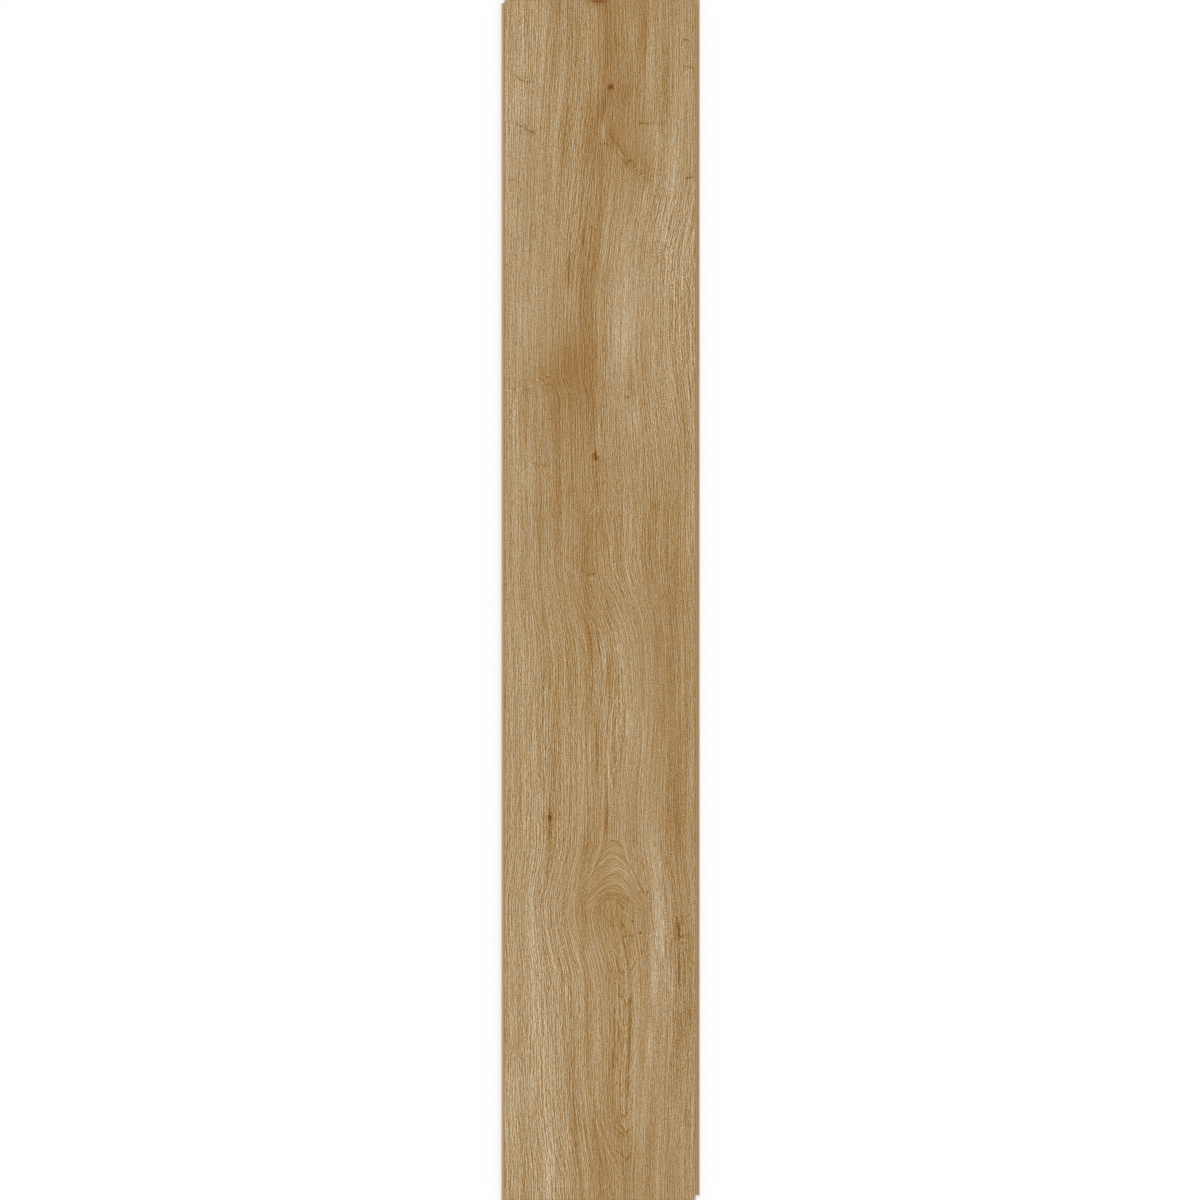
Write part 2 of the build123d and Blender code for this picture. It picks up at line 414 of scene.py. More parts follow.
def lattice_noise(u, v, rng):
    """Smooth random values in -1 to 1: four lattice numbers blended by a smooth step in u and in v."""
    u, v = u - u.min(), v - v.min()
    lattice = rng.uniform(-1, 1, (int(u.max()) + 2, int(v.max()) + 2))
    i, j = u.astype(int), v.astype(int)
    s, t = smooth_step(u - i), smooth_step(v - j)
    top = lattice[i, j] * (1 - s) + lattice[i + 1, j] * s
    bottom = lattice[i, j + 1] * (1 - s) + lattice[i + 1, j + 1] * s
    return top * (1 - t) + bottom * t


def stamped_depth(across, down, fibre):
    """Depth under the face in mm: lines along the fibres, and a dip at each knot, none at the rim."""
    rng = np.random.default_rng(STAMP_SEED)
    lines = lattice_noise(fibre / STAMP_WIDTH, down / STAMP_LENGTH, rng)
    grain = STAMP_DEPTH * np.clip(0.5 + 0.5 * lines, 0, 1) * grain_contrast(across, down)
    edge = np.minimum(np.abs(across).max() - np.abs(across), np.minimum(down - down.min(), down.max() - down))
    return (grain + KNOT_DEPTH * spots(across, down, KNOTS)) * smooth_step(edge / RIM_FADE)


stamp = stamped_depth(grid_across, grid_down, fibres)
print("stamped depth, mm: mean", stamp.mean().round(3), "most", stamp.max().round(3))

# %% [markdown]
# ## One closed mesh
# The grid takes the place of the flat face. Along each side it is joined to the board by one long polygon,
# the eased edge, which has every rim point of the grid on one side and the board's own corners on the
# other. So no edge is left open, and no point lies loose on a neighbour's edge. The flat face's own points
# belong to nothing any more. They are dropped, and the rest are numbered anew.

# %% Join the grid to the board
DECOR, EDGE, BACKING = 0, 1, 2
grid_points = np.column_stack([grid_x.ravel(), grid_y.ravel(), face_height - stamp.ravel() * MM])
first = len(solid_points)
index = first + np.arange(ROWS * COLUMNS).reshape(ROWS, COLUMNS)
face_quads = np.stack([index[:-1, :-1], index[:-1, 1:], index[1:, 1:], index[1:, :-1]], -1).reshape(-1, 4)


def eased_edges():
    """One polygon for each side: the grid's rim points in order, then the board's ease points back again."""
    at_ease = np.flatnonzero(np.abs(heights - ease_height) < HEIGHT_TOLERANCE)
    spot = solid_points[at_ease, :2]
    sides = ((index[0, ::-1], 1, spot[:, 1].min()), (index[:, -1][::-1], 0, spot[:, 0].max()),
             (index[-1, :], 1, spot[:, 1].max()), (index[:, 0], 0, spot[:, 0].min()))
    polygons = []
    for rim, axis, value in sides:
        on_side = at_ease[np.abs(solid_points[at_ease, axis] - value) < HEIGHT_TOLERANCE]
        order = np.argsort(solid_points[on_side, 1 - axis])
        back = on_side[order]
        runs_up = grid_points[rim[-1] - first, 1 - axis] > grid_points[rim[0] - first, 1 - axis]
        polygons.append([*rim.tolist(), *(back[::-1] if runs_up else back).tolist()])
    return polygons


rim_polygons = eased_edges()
is_used = np.zeros(first + len(grid_points), bool)
for corners in (face_quads, board_triangles, np.concatenate(rim_polygons)):
    is_used[corners] = True
number = np.cumsum(is_used) - 1
points = np.vstack([solid_points, grid_points])[is_used]
faces = [*number[face_quads].tolist(), *(number[p].tolist() for p in rim_polygons),
         *number[board_triangles].tolist()]
is_back = (heights[board_triangles] < HEIGHT_TOLERANCE).all(1)
finishes = np.concatenate([np.full(len(face_quads), DECOR), np.full(len(rim_polygons), EDGE),
                           np.where(is_back, BACKING, EDGE)])
print("rim points of each side:", [len(p) for p in rim_polygons], "points dropped:", (~is_used).sum())

# %% Put it into a mesh
SHARP_ANGLE = np.radians(25)


def plank_piece():
    """The dressed plank, with the figure's fields as attributes of its points."""
    mesh = bpy.data.meshes.new("oak_plank")
    mesh.from_pydata(points, [], faces)
    mesh.polygons.foreach_set("material_index", finishes.astype(np.int32))
    across, down = face_places(points[:, 0], points[:, 1])
    down = np.clip(down, 0, FACE_LENGTH)
    fibre, arch, eye, calm = grain_fields(across, down)
    fields = {"fibre": fibre, "arch": arch, "eye": eye, "tone": face_tone(across, down),
              "contrast": grain_contrast(across, down) * calm, "knot": spots(across, down, KNOTS),
              "fleck": spots(across, down, FLECKS)}
    for name, values in fields.items():
        mesh.attributes.new(name, "FLOAT", "POINT").data.foreach_set("value", values.astype(np.float32))
    mesh.shade_smooth()
    mesh.set_sharp_from_angle(angle=SHARP_ANGLE)
    piece = bpy.data.objects.new("oak_plank", mesh)
    bpy.context.scene.collection.objects.link(piece)
    return piece


plank = plank_piece()
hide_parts(PLANK_NODE)
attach(plank, "root")
corner_count, side_count = len(plank.data.loops), len(plank.data.polygons)
print("plank:", len(points), "points,", corner_count - 2 * side_count, "triangles")
print("each edge has two faces:", corner_count == 2 * len(plank.data.edges))

# %% [markdown]
# ## Nodes in few words
# A material is a tree of nodes. These helpers add a node and link it in one line, so that the trees below
# read like sums. A value may be a number, which is set on the socket, or another node's output, which is
# linked.

# %% Node helpers


def feed(tree, socket, value):
    """Links an output to a socket, or sets the socket to a plain value."""
    if isinstance(value, bpy.types.NodeSocket):
        tree.links.new(value, socket)
    else:
        socket.default_value = value


def node(tree, kind, inputs=(), **settings):
    """A new node with its settings, and its inputs fed by name or number."""
    made = tree.nodes.new(kind)
    for name, value in settings.items():
        setattr(made, name, value)
    for socket, value in dict(inputs).items():
        feed(tree, made.inputs[socket], value)
    return made


def calc(tree, operation, *values):
    """Output of a Math node."""
    return node(tree, "ShaderNodeMath", enumerate(values), operation=operation).outputs[0]


def linear(step):
    """Linear light of an 8-bit sRGB step."""
    share = step / 255
    return share / 12.92 if share <= 0.04045 else ((share + 0.055) / 1.055) ** 2.4


def colour(*steps):
    """RGBA for a node, from 8-bit sRGB steps."""
    return (*map(linear, steps), 1.0)


def ramp(tree, position, stops):
    """Colour of a ramp with (position, colour) stops."""
    made = node(tree, "ShaderNodeValToRGB", {0: position})
    while len(made.color_ramp.elements) < len(stops):
        made.color_ramp.elements.new(0.5)
    for element, (at, shade) in zip(made.color_ramp.elements, stops):
        element.position, element.color = at, shade
    return made.outputs["Color"]


def mixed(tree, share, first_colour, second_colour):
    """First colour, or second as far as share says."""
    made = node(tree, "ShaderNodeMix", {"Factor": share}, data_type="RGBA")
    feed(tree, made.inputs[6], first_colour)
    feed(tree, made.inputs[7], second_colour)
    return made.outputs[2]


def emptied(block):
    """Tree of a material or a world, with no node left in it."""
    block.use_nodes = True
    block.node_tree.nodes.clear()
    return block.node_tree


def new_material(name):
    """A material with a Principled shader alone, that shader, and the tree."""
    material = bpy.data.materials.new(name)
    tree = emptied(material)
    shader = node(tree, "ShaderNodeBsdfPrincipled")
    node(tree, "ShaderNodeOutputMaterial", {"Surface": shader.outputs[0]})
    return material, shader, tree


def dress(tree, shader, shade, roughness, sheen, relief, bump):
    """Feeds colour, roughness and sheen, and a bump of a relief with a strength and a depth in metres."""
    strength, depth = bump
    raised = node(tree, "ShaderNodeBump", {"Strength": strength, "Distance": depth, "Height": relief})
    inputs = {"Base Color": shade, "Roughness": roughness, "Specular IOR Level": sheen,
              "Normal": raised.outputs[0]}
    for socket, value in inputs.items():
        feed(tree, shader.inputs[socket], value)


def new_group(name, inputs):
    """A node group that turns numbers into one output, Value, and what its inputs give."""
    group = bpy.data.node_groups.new(name, "ShaderNodeTree")
    for socket in inputs:
        group.interface.new_socket(socket, in_out="INPUT", socket_type="NodeSocketFloat")
    group.interface.new_socket("Value", in_out="OUTPUT", socket_type="NodeSocketFloat")
    return group, node(group, "NodeGroupInput").outputs


def places_mm(tree):
    """Across, along and up in mm, from the piece's own coordinates."""
    own = node(tree, "ShaderNodeTexCoord").outputs["Object"]
    axes = node(tree, "ShaderNodeSeparateXYZ", {0: own}).outputs
    return [calc(tree, "DIVIDE", axis, MM) for axis in axes]


def field(tree, name):
    """One of the figure's fields."""
    return node(tree, "ShaderNodeAttribute", attribute_name=name).outputs["Fac"]


print("linear light of the steps 0, 128 and 255:", [round(linear(step), 3) for step in (0, 128, 255)])

# %% [markdown]
# ## Streaks, a shared effect
# The printed oak, the milled board and the backing paper are full of fibres: marks far longer than they are
# wide. One node group makes them all. It divides the place across, along and sideways by the size of a
# mark, and reads a noise there. The result is about -1 to 1, with a mean of 0, so that each user scales it
# as it needs.

# %% Streaks group
NOISE_MEAN, NOISE_SPREAD = 0.5, 0.14


def streaks_group():
    """Value = (noise at (Across / Width, Along / Length, Side) - its mean) / its usual spread."""
    group, given = new_group("fibre_streaks", ("Across", "Along", "Side", "Width", "Length"))
    place = node(group, "ShaderNodeCombineXYZ", {
        0: calc(group, "DIVIDE", given["Across"], given["Width"]),
        1: calc(group, "DIVIDE", given["Along"], given["Length"]), 2: given["Side"]}).outputs[0]
    noise = node(group, "ShaderNodeTexNoise", {"Vector": place, "Scale": 1.0, "Detail": 0.0})
    centred = calc(group, "SUBTRACT", noise.outputs[0], NOISE_MEAN)
    node(group, "NodeGroupOutput", {"Value": calc(group, "DIVIDE", centred, NOISE_SPREAD)})
    return group


STREAKS = streaks_group()


def streaks(tree, across, along, side, width, length):
    """Streaks of a width and a length in mm."""
    inputs = enumerate((across, along, side, width, length))
    return node(tree, "ShaderNodeGroup", inputs, node_tree=STREAKS).outputs["Value"]


print("group", STREAKS.name, "with", len(STREAKS.nodes), "nodes")

# %% [markdown]
# ## Pores
# Oak is full of pores: crisp lines, a fraction of a millimetre wide and up to a hand long. A smooth noise
# would blur them. So the board is cut into columns as wide as a pore, and each column reads a noise along
# itself at a random place of its own, which has nothing in common with its neighbours'. A share of the next
# column's noise is taken off, so that dark lines lie beside pale ones.

# %% Pores
COLUMN_SPREAD = 1000.0  # how far apart the columns read the noise
BESIDE = 0.75  # share of the next column's noise that is taken off


def column_noise(tree, column, along, side, octaves):
    """Noise along a column, each octave half as long as the last, at a place drawn from its number."""
    own = node(tree, "ShaderNodeTexWhiteNoise", {"W": column}, noise_dimensions="1D").outputs["Value"]
    start = calc(tree, "MULTIPLY", own, COLUMN_SPREAD)
    place = node(tree, "ShaderNodeCombineXYZ", {0: start, 1: along, 2: side}).outputs[0]
    noise = node(tree, "ShaderNodeTexNoise", {
        "Vector": place, "Scale": 1.0, "Detail": octaves - 1.0, "Roughness": 1.0})
    spread = NOISE_SPREAD / np.sqrt(octaves)
    return calc(tree, "DIVIDE", calc(tree, "SUBTRACT", noise.outputs[0], NOISE_MEAN), spread)


def pores(tree, across, along, side, width, length, octaves):
    """Crisp lines of a width and a longest length in mm: a column's noise less a share of the next one's."""
    column = calc(tree, "FLOOR", calc(tree, "DIVIDE", across, width))
    run = calc(tree, "DIVIDE", along, length)
    own = column_noise(tree, column, run, side, octaves)
    beside = column_noise(tree, calc(tree, "ADD", column, 1.0), run, side, octaves)
    return calc(tree, "MULTIPLY_ADD", beside, -BESIDE, own)


print("pores: a column's noise less", BESIDE, "of the next one's")

# %% [markdown]
# ## Fine marks
# Some lines of the figure are thinner than the grid's spacing: flecks across the grain, the tops of arches,
# the edge of the flame beside the heart, and single dark or pale fibres. They are drawn in the material,
# each by one node group that knows the distance from a bent line. A mark across the grain and one along it
# differ only in which of the two places is fed to which input.

# %% Marks group and its lines
# Across and down of a mark's middle, half length, half width, lean, bend, and steps by which it darkens. A
# mark across the grain leans and bends down as it goes across.
CROSS_MARKS = (
    # Flecks
    (-78.5, 80, 9, 1.1, 0.5, -0.03, 22), (-75, 128.5, 10, 1.2, 0.5, 0, 24),
    (-65.5, 133, 2, 1.2, 1.2, 0, 22), (-87.5, 180, 6, 1.0, -0.1, 0, 18),
    (85.5, 39.5, 3.5, 1.2, 0.4, 0, 20), (88.5, 67, 5, 1.0, 0.1, 0, 19), (41.3, 123.2, 2.8, 1.2, 0, 0, 32),
    (46.8, 123.7, 2, 1.1, 0.1, 0, 34), (58, 122.8, 9, 0.8, 0, 0, 12), (90, 177.5, 5, 1.2, -0.2, 0, 26),
    (-59, 465, 7, 0.9, 0.15, 0, 19), (3, 144, 6, 0.9, 0, 0, 18), (-52.5, 816.5, 3, 0.9, 0, 0, 19),
    # The comb at the foot of the flame
    (29.5, 161, 3, 1.4, -0.15, 0, 24), (35.5, 164.3, 2, 0.9, -0.3, 0, 18),
    (34.3, 167.3, 2, 0.8, -0.5, 0, 22), (36.8, 169.7, 2, 0.8, -0.5, 0, 22),
    (38.3, 172, 2, 0.8, -0.5, 0, 22), (39.8, 174.6, 2.2, 0.8, -0.6, 0, 22),
    (35.6, 168.5, 2, 0.8, -0.5, 0, -16), (37.6, 170.9, 2, 0.8, -0.5, 0, -16),
    (39.2, 173.3, 2, 0.8, -0.5, 0, -16), (40.8, 176, 2.5, 0.9, -0.6, 0, -18),
    # The curly edge beside the dark patch
    (-91, 390.5, 4, 0.9, -0.1, 0, -16), (-80, 388.5, 4, 0.9, -0.25, 0, -16),
    (-70, 386, 4, 0.9, -0.3, 0, -16), (-60, 382, 3.5, 0.9, 0.5, 0, -16),
    (-55, 378.5, 3.5, 0.9, 0.6, 0, -18), (-51, 375, 3, 0.9, 0.6, 0, -14),
    (-86, 389, 3.5, 0.8, -0.2, 0, 12), (-75, 386.5, 3.5, 0.8, -0.25, 0, 12),
    (-63, 381, 3, 0.8, 0.5, 0, 12), (-57.5, 380.5, 3, 0.8, 0.6, 0, 12),
    (-32, 348.5, 2.5, 0.9, 0.2, 0, 21), (27, 397, 2.2, 1.8, 0, 0, 24),
    # Under the middle knot, and the tops of the long arches
    (-6, 467.5, 13, 0.8, 0, -0.09, 16), (-7, 452, 2.5, 0.8, 0.4, 0, -22),
    (-6.5, 578.5, 4, 0.9, 0, 0.06, -15), (-8, 574, 4, 1.0, 0, 0, 19), (14, 641, 5, 0.8, 0.5, 0, 18),
    (16.7, 649, 3, 0.9, 0.8, 0, -24),
    # Arches of the eye
    (13.6, 840.7, 10, 0.8, 0, 0.1, 21), (12.8, 858.7, 15, 0.8, 0, 0.058, 24),
    (18, 868.6, 14, 0.9, 0, 0.055, -18), (14, 874.4, 18, 0.8, 0, 0.045, 18),
    (15, 885.5, 16, 0.8, 0, 0.038, 17), (13, 893.8, 13, 0.8, 0, 0.045, 15),
    (-6.5, 888.8, 12.5, 0.8, -0.83, 0, 15), (25.6, 898.6, 4, 0.8, 0.75, 0, 20),
    (22.2, 902.7, 4.5, 0.8, 0.63, 0, 24), (21.5, 905.2, 4.5, 0.8, 0.55, 0, 22),
    (21.8, 908.4, 3, 0.8, 0.6, 0, 18), (22.5, 904.2, 4.5, 0.7, 0.6, 0, -14),
    (24.7, 912.5, 7, 0.9, 0.78, 0, -16), (12, 925, 3.5, 0.9, 0.1, 0.05, 20),
    (32.1, 935.6, 2.6, 1.0, 0, 0, 28), (25.3, 937, 1.8, 0.9, -0.5, 0, 22),
    # Bars beside the dark streak
    (82, 923, 2.2, 2.2, 0, 0, 14), (82, 935.5, 2.4, 1.3, -0.25, 0, 30), (82, 938, 2.2, 1.1, 0, 0, 24),
    (82.3, 942.3, 2.2, 1.4, 0, 0, 14), (83, 927.5, 1.8, 1.2, 0, 0, -14), (82.5, 939.8, 2, 0.9, 0, 0, -14),
    # The points below it
    (21.5, 1114.5, 3.2, 0.9, 0.85, 0, 28), (16, 1129, 3.2, 0.9, 1.0, 0, 30),
    (22.4, 1134, 3.6, 0.9, 0.5, 0, 28), (22.2, 1155.2, 6, 0.9, 0.8, 0, 32),
)
# A mark along the grain leans and bends across as it goes down.
ALONG_MARKS = (
    # Heart and flame
    (67, 85, 45, 0.9, 0, 0, 12), (3.3, 131, 13, 1.0, -0.09, 0, -19), (12.3, 138, 9, 0.8, 0.42, 0.014, 20),
    (19.5, 147, 9, 1.1, 0.53, 0, 20), (20, 152, 7, 0.9, 0.5, 0, -16),
    (24.8, 162.2, 4.5, 0.8, 0.62, 0, 24), (-32.2, 100, 85, 0.9, -0.0875, 0, 12),
    (-55.5, 83, 75, 0.9, -0.078, 0, 12), (-16.5, 242, 6, 0.8, 0, 0, 19),
    (-31, 269, 18, 0.8, -0.06, 0, 16),
    # The dark patch
    (-10, 392, 8, 0.9, 0, 0, 11), (-4.8, 355, 8, 0.9, 0, 0, 15), (-3, 381, 7, 0.9, 0, 0, 14),
    (-31, 401, 8, 0.9, 0, 0, 14),
    # The long arches
    (-8.2, 512, 4, 0.9, -0.65, 0, -22), (-2.5, 508.4, 4, 0.9, 0.34, 0, -22), (1, 513, 3, 0.9, 0.3, 0, 16),
    (-10, 510, 3, 0.9, -0.6, 0, 14), (9.4, 541.5, 16, 0.9, 0.11, 0, -18), (8, 545, 11, 0.8, 0.13, 0, 15),
    (14, 596, 16, 0.8, 0.5, 0, 19), (18, 582, 15, 0.8, 0.47, 0, 16), (20.3, 583, 13, 0.9, 0.47, 0, -16),
    (-2.7, 634, 22, 0.8, 0.2, -0.006, 18), (-11, 636, 34, 1.3, 0.2, -0.004, 12),
    (20, 652, 4, 0.9, 0.3, 0, 16), (5.5, 685, 20, 1.0, -0.07, 0, 14), (22.5, 672, 6, 0.9, 0.2, 0, 16),
    (-3.6, 742, 30, 0.9, 0, 0, 22), (2.2, 748, 32, 0.9, 0, 0, 16), (5.6, 730, 66, 1.0, 0, 0.0019, -13),
    (27.3, 715, 72, 1.0, 0, -0.0018, -13), (30.8, 718, 50, 0.9, 0, -0.0022, -9),
    (8, 728, 58, 0.8, 0, 0.0019, 9), (24.8, 716, 60, 0.8, 0, -0.0018, 9), (15, 745, 7, 1.2, 0, 0, 12),
    (25.2, 744, 8, 0.9, 0, 0, 16), (24, 761, 8, 0.9, -0.1, 0, 15), (28.5, 724, 14, 0.9, 0, 0, -10),
    (43, 731, 22, 0.9, 0, 0, -18), (-50, 824, 16, 1.0, 0, 0, 24), (6.7, 818, 26, 0.9, 0, 0, 16),
    # Lines that lean on the right, below the flame
    (67.4, 225, 18, 1.0, -0.2, 0.0014, -40), (64.2, 222, 17, 0.9, -0.2, 0.001, -32),
    (60.9, 222, 15, 0.9, -0.2, 0.001, -28), (57.6, 226, 14, 0.9, -0.18, 0, -24),
    (65.8, 222, 15, 0.8, -0.2, 0.001, 22), (62.5, 219, 13, 0.8, -0.22, 0.001, 20),
    (69.6, 222, 10, 0.9, -0.15, 0, 18), (59.2, 218, 12, 0.8, -0.22, 0, 16),
    (50.8, 201, 7, 0.9, -0.38, 0.008, -18), (45.4, 193, 9, 0.9, -0.33, 0, -16),
    (55.2, 199, 13, 0.9, -0.2, 0.006, 18),
    # Both sides of the eye
    (-6, 865, 21, 0.9, -0.31, 0, -22), (-7.8, 874, 24, 0.8, -0.48, 0, 15),
    (34, 873, 22, 0.8, 0.53, 0, 18), (34.8, 880.5, 13, 0.8, 0.74, 0, 15), (31, 888, 11, 0.8, 0.87, 0, 15),
    (28.5, 862, 26, 0.9, 0.33, 0.003, -18), (13.4, 918, 4, 1.6, 0, 0, 12),
    (23, 925.6, 3, 1.2, 0.45, 0, 36), (26.3, 933.5, 3.5, 0.9, 0, -0.05, 18),
    (32.5, 921.4, 1.3, 1.1, 0, 0, 44), (40.6, 932.9, 1.7, 1.1, 0.1, 0, 48),
    (41.5, 951.8, 1.5, 1.1, 0, 0, 34), (40, 892.3, 1.5, 1.1, 0, 0, 24), (48, 892, 1.6, 1.3, 0, 0, 36),
    # The dark streak at the right, and pale fibres beside it
    (77.6, 923, 7, 0.9, 0.18, 0, 30), (78.9, 932, 9, 1.0, 0, 0, 52), (79.3, 968, 20, 0.9, 0, 0, 34),
    (75.6, 931, 9, 0.9, 0, 0, 20), (85, 968, 20, 0.8, -0.02, 0, 16), (71.4, 943, 5, 0.8, 0, 0, 16),
    (72.4, 988, 12, 1.1, 0, 0, -14), (72, 1012, 40, 1.1, -0.02, 0, -12), (56.6, 941, 12, 1.1, 0, 0, -22),
    (63.2, 942, 12, 1.1, 0, 0, -22), (62.6, 924, 4, 1.0, 0, 0, -22), (71.5, 924, 4, 0.9, 0, 0, -18),
    (68.7, 899, 19, 0.9, 0.12, 0, -16), (65.5, 861, 6, 1.0, 0.05, 0, 20),
    (42.2, 865, 6, 0.9, 0.29, 0, 18), (62, 965.5, 6, 0.9, 0.5, 0, 16), (49.3, 1027, 9, 1.1, 0, 0, -16),
    (49, 1050, 12, 1.2, 0, 0, -14), (57.6, 1009, 10, 1.0, 0, 0, -14), (43.6, 980, 5, 0.9, 0, 0, 14),
    (44.2, 1002, 4, 0.9, 0, 0, 14),
    # Below it
    (-34.5, 995, 15, 0.9, 0, 0, -16), (-9, 973, 22, 0.9, 0.25, 0, -14),
    (19.2, 1035, 12, 0.8, 0.1, 0.004, 19), (14.4, 1010, 5, 0.9, 0, 0, 19),
    (14, 1040, 26, 0.8, -0.02, 0, 15), (29.7, 1036, 40, 0.9, -0.035, 0, 20),
    (1.4, 1030, 5, 0.9, 0, 0, 19), (-3.8, 1134, 40, 1.0, 0.13, 0.0018, 16),
    (2.5, 1130, 42, 0.9, 0.38, 0.002, 14), (-1, 1130, 42, 0.9, 0.38, 0.002, -14),
    (-16, 1176, 20, 1.0, 0.09, 0, -14), (25.8, 1114.5, 2.6, 0.9, -0.5, 0, 28),
    (23.2, 1128.6, 4, 0.9, 0.62, 0, 28), (27.9, 1130.8, 3.3, 0.9, -0.58, 0, 28),
    (29.1, 1156, 3.6, 0.9, -0.4, 0, 28), (20.5, 971, 6, 0.9, 0.5, 0, 26),
    (31.5, 969, 9, 0.9, -0.6, 0, 24), (22.5, 999.5, 7.5, 0.9, 0.72, 0, 26),
    (30, 1001, 4.5, 0.9, -0.35, 0, 26), (12, 1080, 34, 0.9, 0, 0.0026, 17),
    (27.6, 1094, 20, 0.9, -0.05, 0, 16),
)


def mark_group():
    """Value = 1 - ((d / Width)^2 + (u / Reach)^4) / 2, and no less than 0.

    Here u is the way along the mark, and d the distance beside its line, which lies at u (Lean + u Bend). So
    the value is a half at the half width, and at the half length.
    """
    group, given = new_group("fine_mark", (
        "Along", "Beside", "Middle Along", "Middle Beside", "Reach", "Width", "Lean", "Bend"))
    u = calc(group, "SUBTRACT", given["Along"], given["Middle Along"])
    v = calc(group, "SUBTRACT", given["Beside"], given["Middle Beside"])
    slope = calc(group, "MULTIPLY_ADD", u, given["Bend"], given["Lean"])
    d = calc(group, "SUBTRACT", v, calc(group, "MULTIPLY", u, slope))
    beside = calc(group, "DIVIDE", d, given["Width"])
    along = calc(group, "DIVIDE", u, given["Reach"])
    along = calc(group, "MULTIPLY", along, along)
    beside = calc(group, "MULTIPLY", beside, beside)
    fall = calc(group, "MULTIPLY_ADD", along, along, beside)
    value = calc(group, "MULTIPLY_ADD", fall, -0.5, 1.0)
    node(group, "NodeGroupOutput", {"Value": calc(group, "MAXIMUM", value, 0.0)})
    return group


MARK = mark_group()


def drawn_marks(tree, across, along):
    """Steps by which all marks darken a point."""
    down = calc(tree, "SUBTRACT", FACE_LENGTH / 2, along)
    laid = [(across, down, a, d, *shape) for a, d, *shape in CROSS_MARKS]
    laid += [(down, across, d, a, *shape) for a, d, *shape in ALONG_MARKS]
    total = 0.0
    for *inputs, steps in laid:
        mark = node(tree, "ShaderNodeGroup", enumerate(inputs), node_tree=MARK)
        total = calc(tree, "MULTIPLY_ADD", mark.outputs["Value"], steps, total)
    return total


print("fine marks:", len(CROSS_MARKS), "across the grain,", len(ALONG_MARKS), "along it")

# %% [markdown]
# ## The printed oak
# Measured on the real face, the colours lie on one line from brown to cream. So one number, how light a
# point is, gives the colour through a ramp. It is a sum: the listed tone, then pores and soft streaks
# along the fibres, or along the arches in an eye, with a fine grit that breaks them up, and last the knots,
# flecks and fine marks, which darken it. A fleck is a patch of short streaks across the grain.

# %% Oak material
OAK_MIDDLE = 141
# The colours as they look in soft light: a knot, the darkest grain, the middle and the palest. Green tells
# how light each is. Between them light goes almost straight, so grain too fine to be seen apart keeps the
# board's hue.
OAK_COLOURS = ((112, 66, 22), (147, 106, 53), (171, 141, 97), (214, 200, 172))
DISPLAY_POWER = 2.2  # of a picture's steps, to give light
KNOT_STEPS = 70.0
# The satin face mirrors some of the white room. This veil is taken off a colour before it is printed, and what
# is left is divided by the light that falls on the face.
VEIL, LIGHT = 0.024, 0.94
SIDE_SPREAD = 40  # mm across after which the streaks of the two flanks no longer mirror each other
# Width, longest length, octaves and steps of the pores along the fibres, and of those along the arches.
FIBRE_PORES = (0.6, 110, 6, 21.0)
ARCH_PORES = (0.95, 80, 5, 20.0)
# Width, length and steps of the soft lines on the fibres, on the arches, and of the grit.
FIBRE_STREAKS = ((0.9, 220, 2.5), (2.6, 300, 3.5))
ARCH_STREAKS = ((2.6, 40, 6.0),)
GRIT = ((1.25, 1.5, 8.5), (3.2, 4.5, 2.2))
GRAIN_LIMIT = 45.0  # most steps that a single fibre is darker or paler, so that no mixed pixel turns grey
FLECK_SIZE, FLECK_STEPS = (1.3, 7), 13.0
# Places sideways in the noise: from one layer of streaks to the next, and of the grit and the flecks.
LAYER_SHIFT, GRIT_SIDE, FLECK_SIDE = 3.7, 2.0, 5.0
OAK_ROUGHNESS = (-0.003, 0.48)  # change for each step of grain, and the middle
OAK_SHEEN = 0.18
OAK_BUMP, BUMP_STEPS = (0.4, 0.00003), 12  # strength and depth, and steps of grain for the full depth


def printed(*steps):
    """RGBA for the print, so that it looks like these 8-bit steps under its veil."""
    return (*(max((linear(s) - VEIL) / LIGHT, 0.0) for s in steps), 1.0)


def streak_sum(tree, across, along, side, layers):
    """Sum of streak layers, each shifted sideways so that no two are alike."""
    total = 0.0
    for number, (width, length, steps) in enumerate(layers):
        made = streaks(tree, across, along, calc(tree, "ADD", side, LAYER_SHIFT * number), width, length)
        total = calc(tree, "MULTIPLY_ADD", made, steps, total)
    return total


def grain_lines(tree, place, along, side, pore_layer, streak_layers):
    """Pores and soft streaks along the lines of one field."""
    *size, steps = pore_layer
    soft = streak_sum(tree, place, along, side, streak_layers)
    return calc(tree, "MULTIPLY_ADD", pores(tree, place, along, side, *size), steps, soft)


